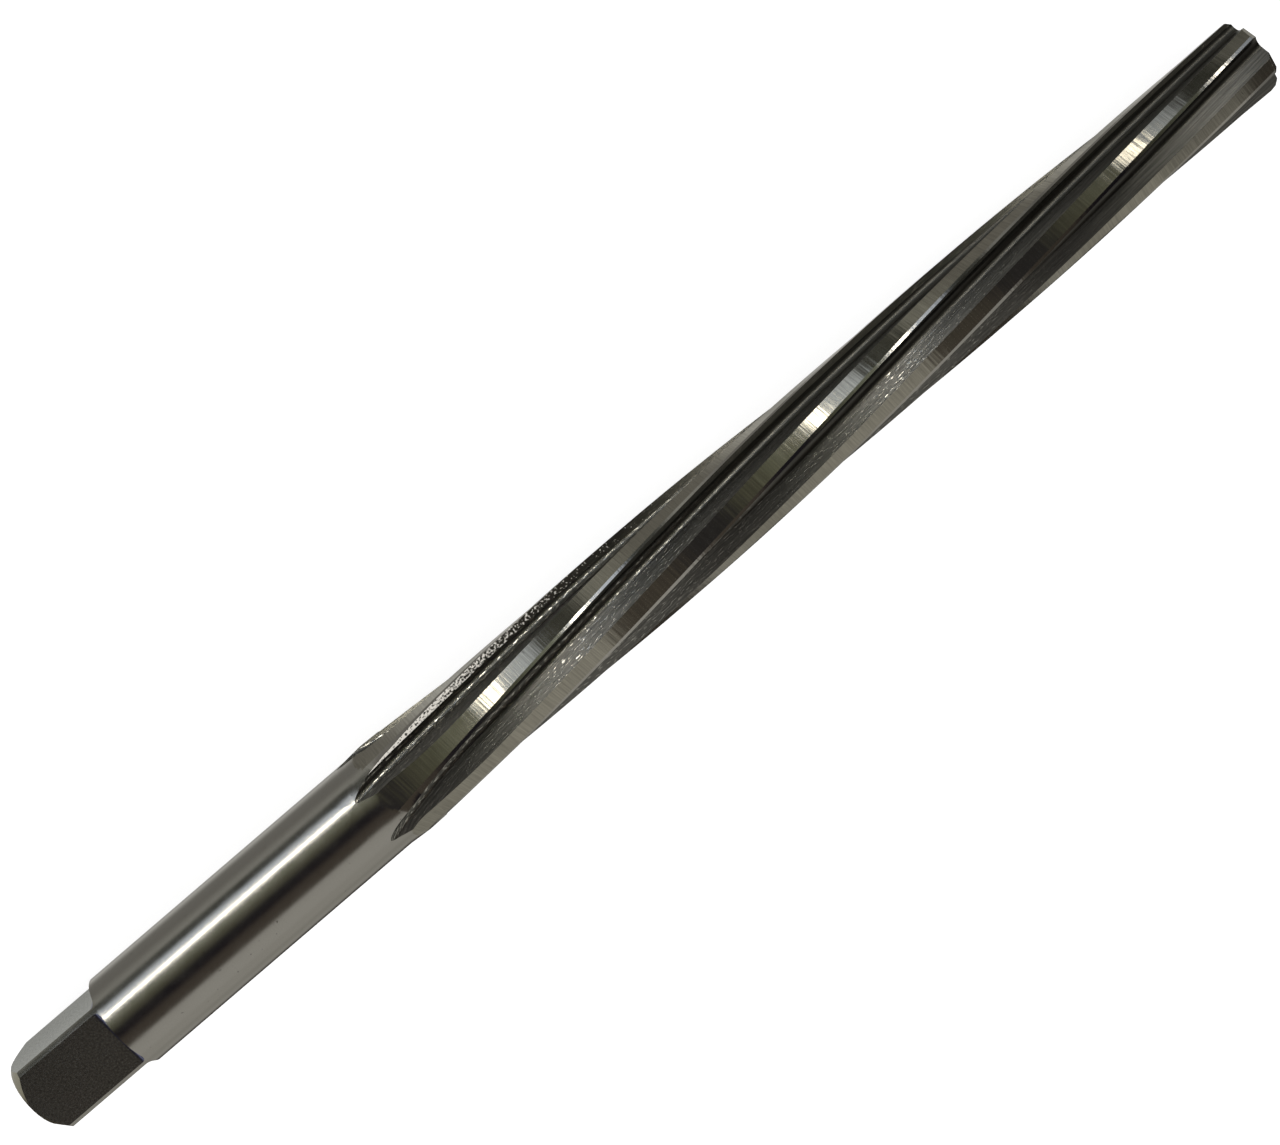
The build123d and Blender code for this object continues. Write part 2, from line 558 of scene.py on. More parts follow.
    def bevel_radius(self, x: np.ndarray, angle: np.ndarray) -> np.ndarray:
        """Radius that the bevel leaves: a plane through the edge's corner, sloped and tilted by its relief.

        Args:
            x: Places along the axis, shape (n, 1).
            angle: Angles from the cutting edge, shape (n, m).

        Returns:
            Radii of shape (n, m), infinite where the plane faces away.
        """
        slope, fall = math.radians(self.bevel_angle), math.radians(self.bevel_relief)
        outward, forward = math.cos(slope) * math.cos(fall), math.sin(slope) * math.cos(fall)
        reach = outward * self.small_end_diameter / 2 - forward * (x - self.overall_length + self.bevel_width)
        facing = outward * np.cos(angle) - math.sin(fall) * np.sin(angle)
        return np.where(facing > self.least_facing, reach / np.maximum(facing, self.least_facing), np.inf)

    def rim_radius(self, x: np.ndarray, angle: np.ndarray) -> np.ndarray:
        """Radius outside the flutes: the least of the blank and of two neighbours' lands and bevels.

        Args:
            x: Places along the axis, shape (n, 1).
            angle: Angles from the first one's cutting edge, shape (n, m).

        Returns:
            Radii of shape (n, m).
        """
        radius = np.broadcast_to(self.blank_radius(x), angle.shape)
        for turn in (0.0, self.pitch):
            radius = np.minimum(radius, self.land_radius(x, angle - turn))
            radius = np.minimum(radius, self.bevel_radius(x, angle - turn))
        return radius

    def flute(self, x: np.ndarray, place: np.ndarray) -> np.ndarray:
        """Outline of the flute in front of an edge.

        The place runs from 0 to 1 straight down the rake face, to 2 round the floor's arc, and to 3 straight
        up the back of the next tooth. All of it is moved by the cutter's lift.

        Args:
            x: Places along the axis, shape (n, 1).
            place: Place along the outline, from 0 to 3, shape (n, m).

        Returns:
            Complex points of shape (n, m).
        """
        edge = self.edge_radius(x)
        lift = arc_lift(x, self.ramp_end + self.runout_start, self.cutter_radius)
        root = self.root_ratio * edge
        slope = self.heel(edge) * np.exp(1j * self.pitch) - root
        back = slope / np.abs(slope)
        opening = np.angle(back)
        foot = self.floor_radius / np.tan(opening / 2)
        rake = root + foot + edge * (1 - place)
        swing = np.exp(-1j * (math.pi / 2 + (place - 1) * (math.pi - opening)))
        floor = root + foot + self.floor_radius * (1j + swing)
        rise = root + back * (foot + edge * (place - 2))
        outline = np.where(place < 1, rake, np.where(place < 2, floor, rise))
        return outline + lift * np.exp(1j * math.radians(self.lift_angle))

    def flute_ends(self, x: np.ndarray) -> tuple[np.ndarray, np.ndarray, np.ndarray]:
        """Where the flute's outline passes through the rim, by close steps and a straight line between two.

        Args:
            x: Places along the axis, shape (n, 1).

        Returns:
            First and last place inside the rim, and whether there is a flute at all, each of shape (n, 1).
        """
        steps = np.linspace(0.0, 3.0, self.search_steps)
        outline = self.flute(x, np.broadcast_to(steps, (len(x), len(steps))))
        gap = np.abs(outline) - self.rim_radius(x, np.angle(outline))
        inside = gap < 0
        cut = inside.any(1)
        nearest = gap.argmin(1)
        rows = np.arange(len(x))
        first = np.where(cut, inside.argmax(1), nearest)
        last = np.where(cut, len(steps) - 1 - inside[:, ::-1].argmax(1), nearest)
        before, after = np.maximum(first - 1, 0), np.minimum(last + 1, len(steps) - 1)
        into = gap[rows, before] / (gap[rows, before] - gap[rows, first] + ~cut)
        out = gap[rows, after] / (gap[rows, after] - gap[rows, last] + ~cut)
        start = np.where(cut, steps[before] + into * (steps[first] - steps[before]), steps[nearest])
        stop = np.where(cut, steps[after] + out * (steps[last] - steps[after]), steps[nearest])
        return start[:, None], stop[:, None], cut[:, None]

    def tooth(self, x: np.ndarray) -> tuple[np.ndarray, np.ndarray]:
        """One tooth's section at each station: its land from heel to edge, then the flute in front of it.

        Args:
            x: Places along the axis, shape (n, 1).

        Returns:
            Complex points, shape (n, nodes), the edge on the real axis, and whether there is a flute.
        """
        land, margin, rake, floor, back = self.parts
        start, stop, cut = self.flute_ends(x)
        floor_start, floor_stop = np.clip(1.0, start, stop), np.clip(2.0, start, stop)
        places = np.concatenate([
            blend(start, floor_start, rake)[:, :-1],
            blend(floor_start, floor_stop, floor)[:, :-1],
            blend(floor_stop, stop, back),
        ], 1)
        flute = self.flute(x, places)
        for end in (0, -1):
            angle = np.angle(flute[:, end : None if end else 1])
            flute[:, end : None if end else 1] = self.rim_radius(x, angle) * np.exp(1j * angle)
        heel_angle, edge_angle = np.angle(flute[:, -1:]) - self.pitch, np.angle(flute[:, :1])
        lift = arc_lift(x, self.ramp_end + self.land_wheel_start, self.land_wheel_radius)
        corner_angle = np.clip(np.angle(self.land_corner(self.edge_radius(x) + lift)), heel_angle, edge_angle)
        angles = np.concatenate([
            blend(heel_angle, corner_angle, land)[:, :-1],
            blend(corner_angle, edge_angle, margin)[:, :-1],
        ], 1)
        section = np.concatenate([self.rim_radius(x, angles) * np.exp(1j * angles), flute], 1)
        section[:, 0] = section[:, -1] * np.exp(-1j * self.pitch)

        first_cut = x[cut].min()
        share = ease(np.clip((first_cut - x) / self.spread_length, 0.0, 1.0))
        bare = ~cut[:, 0]
        middle = land + margin + (rake + floor + back) / 2
        even = np.angle(flute[:, :1]) + (np.arange(section.shape[1]) - middle) * self.pitch / sum(self.parts)
        spread = np.unwrap(np.angle(section), axis=1)
        spread += np.round((even - spread) / (2 * math.pi)) * 2 * math.pi
        spread += (even - spread) * share
        section[bare] = (self.blank_radius(x) * np.exp(1j * spread))[bare]
        return section, cut

    def stations(self) -> np.ndarray:
        """Places of the rings: close over the run-outs and the bevel, wider where the section only turns.

        Returns:
            Places along the axis, shape (n, 1).
        """
        full = self.ramp_end + self.runout_start + self.close_length
        tip = self.overall_length - self.tip_length
        return np.concatenate([
            np.arange(self.ramp_end - self.lead_in, full, self.close_step),
            np.linspace(full, tip, self.plain_rings, endpoint=False),
            np.linspace(tip, self.overall_length, self.tip_rings),
        ])[:, None]

    def skin(self) -> tuple[Skin, np.ndarray, np.ndarray]:
        """All teeth and flutes from the even ring on the shank to the flat tip.

        Returns:
            The skin, the node angles of its first ring, and those of a ring inside the tip's outline.
        """
        x = self.stations()
        section, cut = self.tooth(x)
        frozen = np.maximum(x, x[cut].min() - self.spread_length)
        turn = self.edge_angle(frozen)
        step = np.abs(np.diff(section, axis=1))
        run = np.concatenate([np.zeros_like(x), np.cumsum(step, 1)], 1)
        land, margin, rake, floor, back = self.parts
        edge, foot = land + margin, land + margin + rake
        slant = self.helix_angle
        across_land, across_flute = run - run[:, edge : edge + 1], run - run[:, foot : foot + 1]
        along_land = x * math.cos(slant) - across_land * math.sin(slant)
        along_flute = np.broadcast_to(x / math.cos(slant), across_flute.shape)
        order = np.repeat([Zone.LAND, Zone.MARGIN, Zone.RAKE, Zone.FLOOR, Zone.BACK], self.parts)
        numbers = np.array([z.value for z in order])
        on_blank = np.abs(section) > self.blank_radius(x) - self.left_proud
        zones = np.where(corners(on_blank).all(2), Zone.SHANK.value, numbers)
        grain = np.where(
            (numbers <= Zone.MARGIN.value)[:, None, None],
            corners(np.stack([along_land, across_land], -1)),
            corners(np.stack([along_flute, across_flute], -1)),
        )
        teeth = np.exp(1j * (turn[:, :, None] + self.pitch * np.arange(self.count)[None, :, None]))
        nodes = (section[:, None, :-1] * teeth).reshape(len(x), -1)
        nodes = np.concatenate([nodes, nodes[:, :1]], 1)
        grains = [grain + (0.0, self.tooth_shift * n) for n in range(self.count)]
        all_zones = np.tile(zones, (1, self.count))
        own = np.arange(all_zones.shape[1]) // zones.shape[1] == self.torn_glint_flute
        all_zones = np.where(own & (all_zones == Zone.RAKE.value), Zone.TORN.value, all_zones)
        skin = Skin(ring_points(x, nodes), all_zones, np.concatenate(grains, 1))
        ring = np.unwrap(np.angle(nodes[0]))

        heel_angle = np.angle(section[-1, 0])
        inner = np.concatenate([
            blend(heel_angle, self.inner_corner, edge)[:-1],
            blend(self.inner_corner, 0.0, rake)[:-1],
            blend(0.0, heel_angle + self.pitch, floor + back)[:-1],
        ])
        inner = (inner[None] + turn[-1] + self.pitch * np.arange(self.count)[:, None]).ravel()
        return skin, ring, np.append(inner, inner[0] + 2 * math.pi)


class Lay(Enum):
    """Direction of the marks that a finish leaves, against the two grain distances."""

    ROUND = (1.0, 0.03)
    ALONG = (0.03, 1.0)
    EVEN = (1.0, 1.0)


@dataclass(frozen=True)
class TornCrestsPaintedGlints:
    """Torn crests of rough milling, which scatter light, with glints painted in as their near-white colour:
    thick at one place on the tool, gone at another.

    Attributes:
        colour: Colour of the crests, sRGB hex: near white, a painted highlight for glints.
        spacing: Distance between crests in millimetres.
        thick_at: Distance along the flute where they are thickest, in millimetres.
        gone_at: Distance where the last ones are.
        scatter: Share of the light that a crest throws back every way.
        limits: Height of the noise above which crests stand, at thick_at and at gone_at.
        side: Height of the noise over which a crest's side rises.
    """

    colour: str
    spacing: float
    thick_at: float
    gone_at: float
    scatter: float = 0.8
    limits: tuple[float, float] = (0.28, 0.72)
    side: float = 0.1

    def amount(self, tree: Tree, grain: Socket) -> Socket:
        """Where crests are: the tops of a noise, above a height that grows from thick_at to gone_at.

        Args:
            tree: Nodes of the material.
            grain: The two grain distances.

        Returns:
            Socket with 0 between the crests and 1 on them.
        """
        noise = add_node(
            tree, "TexNoise", {"Vector": grain, "Scale": 1 / self.spacing, "Detail": 1.0, "Roughness": 0.6}
        )
        place = add_node(tree, "SeparateXYZ", {"Vector": grain})
        limit = add_node(
            tree, "MapRange",
            {
                "Value": place, "From Min": self.thick_at, "From Max": self.gone_at,
                "To Min": self.limits[0], "To Max": self.limits[1],
            },
        )
        top = add_node(tree, "Math", {0: limit, 1: self.side}, operation="ADD")
        return add_node(tree, "MapRange", {"Value": noise, "From Min": limit, "From Max": top})


@dataclass(frozen=True)
class SteelFinish:
    """Bare hardened high-speed steel with the marks of one way of cutting it.

    Attributes:
        name: Name of the material.
        colour: Colour of the metal in white light, sRGB hex.
        roughness: Mean roughness.
        lay: Direction of the marks.
        mark_spacing: Distance between marks in millimetres.
        mark_depth: Height of the marks in millimetres.
        tilt: How far single marks lean to the side, in radians.
        tone: How much single marks differ in brightness, as a share.
        nick_spacing: Distance between small nicks in millimetres.
        nick_depth: Depth of the nicks in millimetres.
        nick_tone: Share of its brightness that a nick loses, or gains when it is below nothing.
        nick_polish: Share of its roughness that a nick loses.
        nick_limit: Height of the noise, from 0 to 1, above which there is a nick.
        nick_edge: Height of the noise over which a nick's sides reach its middle.
        nick_reach: Distances along the grain, in millimetres, between which the nicks fade out. Both lie past
            the tool's end where they don't.
        roughness_spread: How far the roughness wanders about its mean.
        scatter: Share of the light that the surface throws back every way.
        crests: Torn crests that stand on the surface, with glints painted in as their near-white colour, or
            none.
    """

    name: str
    colour: str
    roughness: float
    lay: Lay
    mark_spacing: float
    mark_depth: float
    tilt: float = 0.0
    tone: float = 0.1
    nick_spacing: float = 1.0
    nick_depth: float = 0.0
    nick_tone: float = 0.0
    nick_polish: float = 0.0
    nick_limit: float = 0.7
    nick_edge: float = 0.06
    nick_reach: tuple[float, float] = (900.0, 1000.0)
    roughness_spread: float = 0.03
    scatter: float = 0.0
    crests: TornCrestsPaintedGlints | None = None

    def build(self) -> bpy.types.Material:
        """Makes the material.

        Returns:
            A material that reads the piece's own grain attribute, in millimetres.
        """
        material = bpy.data.materials.new(self.name)
        tree = empty_tree(material)
        grain = add_node(tree, "Attribute", out="Vector", attribute_name="grain")
        marks = self.laid_noise(tree, grain, self.mark_spacing, 3.0, 0.6)
        nicks = self.nicks(tree, grain)
        colour, metallic = self.shade(tree, grain, marks, nicks)
        roughness = self.dullness(tree, grain, nicks)
        normal = self.leaning_normal(tree, grain)
        for height, depth in ((marks, self.mark_depth), (nicks, self.nick_depth)):
            normal = add_node(
                tree, "Bump", {"Height": height, "Distance": depth * MM, "Strength": 1.0, "Normal": normal}
            )
        shader = add_node(
            tree, "BsdfPrincipled",
            {"Base Color": colour, "Metallic": metallic, "Roughness": roughness, "Normal": normal},
        )
        add_node(tree, "OutputMaterial", {"Surface": shader})
        return material

    def laid_noise(
        self, tree: Tree, grain: Socket, spacing: float, detail: float, roughness: float = 0.5,
        start: tuple[float, float, float] = (0.0, 0.0, 0.0), least: float = 0.0,
    ) -> Socket:
        """Noise that is drawn out the way the marks run: the grain times the lay over the spacing.

        Args:
            tree: Nodes of the material.
            grain: The two grain distances.
            spacing: Distance between its tops across the marks, in millimetres.
            detail: How many finer noises are added to it.
            roughness: How strong each of them is against the one before.
            start: Place in the noise that the grain's zero falls on.
            least: Least share that is taken of a lay's direction.

        Returns:
            Socket with the noise, from 0 to 1.
        """
        along, across = (max(v, least) / spacing for v in self.lay.value)
        place = add_node(tree, "Mapping", {"Vector": grain, "Scale": (along, across, 1.0), "Location": start})
        return add_node(
            tree, "TexNoise", {"Vector": place, "Scale": 1.0, "Detail": detail, "Roughness": roughness}
        )

    def shade(
        self, tree: Tree, grain: Socket, marks: Socket, nicks: Socket
    ) -> tuple[Socket, Socket | float]:
        """Colour and metallic share: marks lighten and darken the metal, nicks too, and crests lie over both,
        their glints painted in as near-white colour.

        Args:
            tree: Nodes of the material.
            grain: The two grain distances.
            marks: Height of the marks.
            nicks: 1 in a nick.

        Returns:
            The base colour, and the share of the light that is mirrored as by metal.
        """
        level = add_node(
            tree, "MapRange",
            {
                "Value": marks, "From Min": NOISE_LOW, "From Max": NOISE_HIGH,
                "To Min": 1 - self.tone, "To Max": 1 + self.tone,
            },
            clamp=False,
        )
        level = add_node(tree, "Math", {0: nicks, 1: -self.nick_tone, 2: level}, operation="MULTIPLY_ADD")
        colour = add_node(tree, "VectorMath", {0: linear_rgb(self.colour), "Scale": level}, operation="SCALE")
        metallic = 1 - self.scatter
        if not self.crests:
            return colour, metallic
        torn = self.crests.amount(tree, grain)
        # Near-white crest colour: a painted highlight that stands in for glints on the torn steel
        pale = (*linear_rgb(self.crests.colour), 1.0)
        mixed = add_node(tree, "Mix", {0: torn, 6: colour, 7: pale}, out=2, data_type="RGBA")
        share = add_node(
            tree, "MapRange", {"Value": torn, "To Min": metallic, "To Max": 1 - self.crests.scatter}
        )
        return mixed, share

    def dullness(self, tree: Tree, grain: Socket, nicks: Socket) -> Socket:
        """Roughness that wanders slowly about its mean, times what a nick's polish leaves of it.

        Args:
            tree: Nodes of the material.
            grain: The two grain distances.
            nicks: 1 in a nick.

        Returns:
            Socket with the roughness.
        """
        drift = add_node(
            tree, "TexNoise", {"Vector": grain, "Scale": DRIFT_SCALE, "Detail": 4.0, "Roughness": 0.6}
        )
        wandering = add_node(
            tree, "MapRange",
            {
                "Value": drift, "From Min": NOISE_LOW, "From Max": NOISE_HIGH,
                "To Min": self.roughness - self.roughness_spread,
                "To Max": self.roughness + self.roughness_spread,
            },
        )
        kept = add_node(tree, "Math", {0: nicks, 1: -self.nick_polish, 2: 1.0}, operation="MULTIPLY_ADD")
        return add_node(tree, "Math", {0: wandering, 1: kept}, operation="MULTIPLY")

    def leaning_normal(self, tree: Tree, grain: Socket) -> Socket:
        """Normal of single marks that each lean a little round the tool's axis.

        The lean is the direction round the axis, the normal crossed with X, times a noise that changes from
        mark to mark, added to the surface's own normal.

        Args:
            tree: Nodes of the material.
            grain: The two grain distances.

        Returns:
            Socket with the new normal.
        """
        noise = self.laid_noise(tree, grain, LEAN_SPACING * self.mark_spacing, 1.0, start=LEAN_START)
        amount = add_node(
            tree, "MapRange",
            {
                "Value": noise, "From Min": LEAN_LOW, "From Max": LEAN_HIGH,
                "To Min": -self.tilt, "To Max": self.tilt,
            },
        )
        own = add_node(tree, "NewGeometry", out="Normal")
        sideways = add_node(tree, "VectorMath", {0: own, 1: (1.0, 0.0, 0.0)}, operation="CROSS_PRODUCT")
        lean = add_node(tree, "VectorMath", {0: sideways, "Scale": amount}, operation="SCALE")
        total = add_node(tree, "VectorMath", {0: own, 1: lean}, operation="ADD")
        return add_node(tree, "VectorMath", {0: total}, operation="NORMALIZE")

    def nicks(self, tree: Tree, grain: Socket) -> Socket:
        """Scattered small nicks: the tops of a noise, fewer and then none over nick_reach.

        Args:
            tree: Nodes of the material.
            grain: The two grain distances.

        Returns:
            Socket with 0 on the plain surface and 1 in a nick.
        """
        noise = self.laid_noise(tree, grain, self.nick_spacing, 2.0, least=NICK_LAY)
        tops = add_node(
            tree, "MapRange",
            {"Value": noise, "From Min": self.nick_limit, "From Max": self.nick_limit + self.nick_edge},
        )
        distance = add_node(tree, "SeparateXYZ", {"Vector": grain})
        left = add_node(
            tree, "MapRange",
            {"Value": distance, "From Min": self.nick_reach[1], "From Max": self.nick_reach[0]},
        )
        return add_node(tree, "Math", {0: tops, 1: left}, operation="MULTIPLY")


# Cylindrically ground: bands with sharp sides, and a fine grain that takes up the lamp beside its highlight
GROUND_CYLINDER = SteelFinish(
    "hss_cylindrical_ground", "#8e8c87", 0.2, Lay.EVEN, 0.09, 0.0016, tilt=0.008, tone=0.05,
    nick_spacing=0.45, nick_depth=0.004, nick_tone=0.5, nick_limit=0.71,
)
# Milled and left: an even, mottled grey with a dull reflection
MILLED_FLAT = SteelFinish(
    "hss_end_milled", "#878a88", 0.23, Lay.EVEN, 0.2, 0.0015, tilt=0.015, tone=0.4,
    nick_spacing=0.25, nick_depth=0.002, nick_limit=0.68,
)
# The cutter's corner at the shoulder: a weak blue
MILLED_SHOULDER = SteelFinish("hss_shoulder_blue", "#5f637c", 0.25, Lay.EVEN, 0.25, 0.003)
# Turned chamfer: fine rings that spread the light round the end
TURNED_CHAMFER = SteelFinish("hss_turned_chamfer", "#8f8b76", 0.25, Lay.ROUND, 0.1, 0.0015)
# Faced end: a weak brown, taken for a thin film of cutting oil that has dried on it
FACED_END = SteelFinish("hss_faced_end", "#7a7064", 0.3, Lay.ROUND, 0.12, 0.002)
# Centre holes, drilled and left: dull, darker than the ground steel round them
CENTRE_DRILLED = SteelFinish("hss_centre_drilled", "#6c6a66", 0.35, Lay.ROUND, 0.15, 0.002)
# Cross marks of the grinding wheel on the relief: each stripe leans its own way and takes light or dark
RELIEF_GROUND = SteelFinish(
    "hss_relief_ground", "#827f75", 0.15, Lay.ROUND, 0.13, 0.0007, tilt=0.028, tone=0.2,
    nick_spacing=0.5, nick_depth=0.006, nick_tone=0.3, nick_limit=0.71, scatter=0.05,
)
# Circular-ground margin: the smoothest strip, a thin line of light
GROUND_MARGIN = SteelFinish(
    "hss_ground_margin", "#918f8a", 0.14, Lay.ROUND, 0.12, 0.0004, tilt=0.02, tone=0.08
)
# Rake as milled: dull streaks along the helix
MILLED_RAKE = SteelFinish(
    "hss_milled_rake", "#6a6860", 0.34, Lay.ALONG, 0.1, 0.003, tone=0.16,
    nick_spacing=0.16, nick_depth=0.012, nick_limit=0.6, scatter=0.12,
)
# The same, torn where the cutter lifts out towards the shank, with a pale speckle of crests: glints of light
# painted in as near-white colour
TORN_RAKE_PAINTED_GLINTS = replace(
    MILLED_RAKE, name="hss_torn_rake_painted_glints", colour="#55534d",
    crests=TornCrestsPaintedGlints("#fffaf0", 0.24, 40.0, 74.0, 0.95),
)
# Floor of the flute: streaks along the helix, and polished nicks that turn the lamp into a dotted line
MILLED_FLOOR = SteelFinish(
    "hss_milled_floor", "#4c4b47", 0.36, Lay.ALONG, 0.14, 0.004, tone=0.35,
    nick_spacing=0.12, nick_depth=0.002, nick_tone=-2.4, nick_polish=0.75, nick_limit=0.52, nick_edge=0.08,
    nick_reach=(62.0, 84.0),
)
# Back of the tooth: dark and light streaks along the helix, with small polished nicks that sparkle
MILLED_BACK = SteelFinish(
    "hss_milled_back", "#555450", 0.42, Lay.ALONG, 0.16, 0.012, tone=0.4,
    nick_spacing=0.13, nick_depth=0.004, nick_tone=-1.3, nick_polish=0.8, nick_limit=0.58,
    nick_reach=(98.0, 125.0), scatter=0.15,
)

FINISHES: dict[Zone, SteelFinish] = {
    Zone.SHANK: GROUND_CYLINDER,
    Zone.FLAT: MILLED_FLAT,
    Zone.SHOULDER: MILLED_SHOULDER,
    Zone.CHAMFER: TURNED_CHAMFER,
    Zone.FACE: FACED_END,
    Zone.CENTRE: CENTRE_DRILLED,
    Zone.LAND: RELIEF_GROUND,
    Zone.MARGIN: GROUND_MARGIN,
    Zone.RAKE: MILLED_RAKE,
    Zone.FLOOR: MILLED_FLOOR,
    Zone.BACK: MILLED_BACK,
    Zone.TORN: TORN_RAKE_PAINTED_GLINTS,
}


@dataclass
class Reamer:
    """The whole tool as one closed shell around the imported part.

    Attributes:
        overall_length: Length of the tool.
        shank_radius: Radius of the shank.
        flat_height: Distance from the axis to a flat of the square.
        flat_roll: Angle of the flat that looks up, in radians.
        crease_angle: Angle in degrees past which an edge is drawn sharp.
        settle_length: Length of shank over which the grid turns from the square's nodes to even ones.
        shank_rings: Rings over that length, and over the rest of the shank.
        tang_hole: Centre hole in the tang.
        tip_hole: Centre hole in the small end.
    """

    overall_length: float
    shank_radius: float
    flat_height: float
    flat_roll: float
    crease_angle: float = 12.5
    settle_length: float = 7.0
    shank_rings: tuple[int, int] = (15, 12)
    tang_hole: CentreHole = field(default_factory=lambda: CentreHole(3.35, 1.6))
    tip_hole: CentreHole = field(default_factory=lambda: CentreHole(2.65, 1.25))

    @classmethod
    def from_frame(cls) -> "Reamer":
        """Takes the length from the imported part's box, and the shank and the square from its mounts.

        Returns:
            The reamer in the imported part's size.
        """
        _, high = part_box(NODE)
        mounts = {m["name"]: m for m in frame["record"]["mounts"]}
        flat = mounts["square_flat"]
        axis = Vector(flat["axis"])
        return cls(
            overall_length=high.x / MM,
            shank_radius=mounts["shank"]["dims"]["r_mm"],
            flat_height=axis.dot(Vector(flat["pos_m"])) / MM,
            flat_roll=math.atan2(-axis.y, axis.z),
        )

    def skins(self) -> list[Skin]:
        """Works out the whole shell.

        Returns:
            Its stretches in order, from the drilled point at the tang to the one at the tip.
        """
        teeth = HelicalTeeth(self.overall_length, self.shank_radius)
        tang = SquareTang(self.shank_radius, self.flat_height, self.flat_roll)
        toothed, ring, inner = teeth.skin()
        count = len(ring)
        flat_half = math.acos(self.flat_height / self.shank_radius)
        first = round((ring[0] - tang.roll + flat_half) / (2 * math.pi) * (count - 1))
        square, (end_angles, wall_angles) = tang.skin(first, count)

        depth, radius = self.tang_hole.outline()
        face = self.shank_radius - tang.chamfer
        tang_end = turned_skin(
            np.append(depth, 0.0), np.append(radius, face), end_angles, [Zone.CENTRE] * 3 + [Zone.FACE]
        )

        settling, even = self.shank_rings
        share = np.linspace(0.0, 1.0, settling)[:, None]
        angles = wall_angles + (ring - wall_angles) * ease(share)
        start = toothed.points[0, 0, 0]
        x = np.concatenate([
            tang.wall_x + self.settle_length * share[:, 0],
            np.linspace(tang.wall_x + self.settle_length, start, even)[1:],
        ])
        angles = np.concatenate([angles, np.broadcast_to(ring, (even - 1, count))])
        shank = turned_skin(x, np.full(len(x), self.shank_radius), angles, [Zone.SHANK] * (len(x) - 1))

        depth, radius = self.tip_hole.outline()
        x = self.overall_length - depth[::-1]
        tip_end = turned_skin(x, radius[::-1], inner, [Zone.CENTRE] * 3)
        outline = toothed.points[-1]
        face_rings = np.stack([outline, tip_end.points[0]])
        run = np.hypot(face_rings[..., 1], face_rings[..., 2])
        grain = np.stack([run, np.broadcast_to(inner, run.shape) * run], -1)
        tip_face = Skin(face_rings, np.full((1, count - 1), Zone.FACE.value), corners(grain))
        return [tang_end, square, shank, toothed, tip_face, tip_end]

    def build(self) -> bpy.types.Object:
        """Joins the stretches into one closed mesh and dresses it.

        Returns:
            The finished object, at the origin, riding on the part's body.
        """
        points, faces, zones, grain, offset = [], [], [], [], 0
        for skin in self.skins():
            rings, nodes = skin.points.shape[:2]
            faces.append(offset + grid_faces(rings, nodes))
            points.append(skin.points.reshape(-1, 3))
            zones.append(skin.zones.ravel())
            grain.append(skin.grain.reshape(-1, 2))
            offset += rings * nodes
        mesh = bpy.data.meshes.new("reamer_steel")
        corner_list = np.concatenate(faces).ravel()
        mesh.vertices.add(offset)
        mesh.vertices.foreach_set("co", (np.concatenate(points) * MM).ravel())
        mesh.loops.add(len(corner_list))
        mesh.loops.foreach_set("vertex_index", corner_list)
        mesh.polygons.add(len(corner_list) // 4)
        mesh.polygons.foreach_set("loop_start", np.arange(0, len(corner_list), 4))
        mesh.polygons.foreach_set("material_index", np.concatenate(zones))
        mesh.update(calc_edges=True)
        grains = np.concatenate(grain)
        attribute = mesh.attributes.new("grain", "FLOAT_VECTOR", "CORNER")
        attribute.data.foreach_set("vector", np.c_[grains, np.zeros(len(grains))].ravel())
        self.weld(mesh)
        mesh.shade_smooth()
        mesh.set_sharp_from_angle(angle=math.radians(self.crease_angle))
        piece = add_object("reamer_steel", mesh)
        for zone in Zone:
            mesh.materials.append(FINISHES[zone].build())
        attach(piece, "root")
        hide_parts(NODE)
        LOG.info("%s: %d faces, %d surfaces", piece.name, len(mesh.polygons), len(Zone))
        return piece

    @staticmethod
    def weld(mesh: bpy.types.Mesh) -> None:
        """Joins the nodes that lie on each other, at seams, poles and where a flute has run out.

        Args:
            mesh: The mesh to close, changed in place.
        """
        work = bmesh.new()
        work.from_mesh(mesh)
        bmesh.ops.remove_doubles(work, verts=work.verts, dist=WELD * MM)
        work.to_mesh(mesh)
        work.free()


@dataclass(frozen=True)
class Strip:
    """A strip of the studio as the steel mirrors it, along the tool.

    Attributes:
        start: Where it begins: overhead in degrees from straight up towards -Y, on the bench in millimetres
            from the axis.
        colour: Colour, sRGB hex.
        strength: Brightness that the colour is multiplied by.
        softness: Width over which the strip before it passes into this one.
    """

    start: float
    colour: str
    strength: float = 1.0
    softness: float = 3.0


class Glow(Enum):
    """How the light of a glowing sheet is sampled."""

    WALL = "NONE"
    LAMP = "FRONT_BACK"


def strip_light(strips: tuple[Strip, ...], places: np.ndarray) -> np.ndarray:
    """Light of a row of strips at some places: the steps from strip to strip, each spread over its softness.

    Args:
        strips: The strips, in the order of their starts.
        places: Places in the strips' own unit.

    Returns:
        Linear colours, one row for each place.
    """
    colours = np.array([np.multiply(linear_rgb(s.colour), s.strength) for s in strips])
    light = np.repeat(colours[:1], len(places), 0)
    for before, after, strip in zip(colours, colours[1:], strips[1:]):
        share = np.clip((places - strip.start) / strip.softness + 0.5, 0.0, 1.0)[:, None]
        light += (after - before) * ease(share)
    return light


